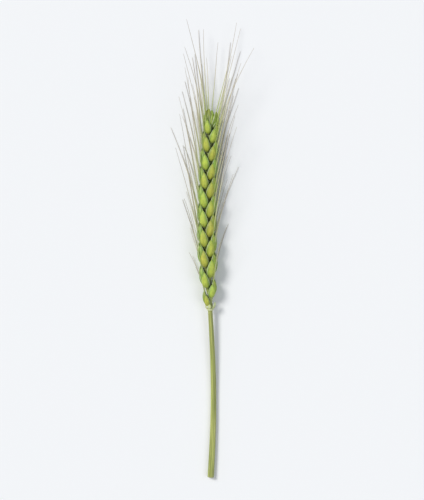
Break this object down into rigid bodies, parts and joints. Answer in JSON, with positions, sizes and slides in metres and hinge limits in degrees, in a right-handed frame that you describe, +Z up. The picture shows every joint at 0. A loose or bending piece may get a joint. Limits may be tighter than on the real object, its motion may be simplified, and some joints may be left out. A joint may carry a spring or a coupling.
{
  "type": "wheat ear",
  "caption": "Green bearded wheat ear lying on its cut stem, with alternate overlapping husks and long fine awns.",
  "frame": {"origin": "on the surface that the ear lies on, under the middle of the whole part's box", "axes": "+Y along the plant from the cut end of the stem to the tips of the awns, +Z up out of the ear's face, +X across its two rows of spikelets"},
  "size_m": [0.0402, 0.221, 0.0183],
  "materials": {
    "green_husks": "satin green plant skin",
    "green_straw": "satin ribbed green straw"
  },
  "bodies": {
    "root": {"ear": "green_husks", "stem": "green_straw"}
  },
  "joints": []
}
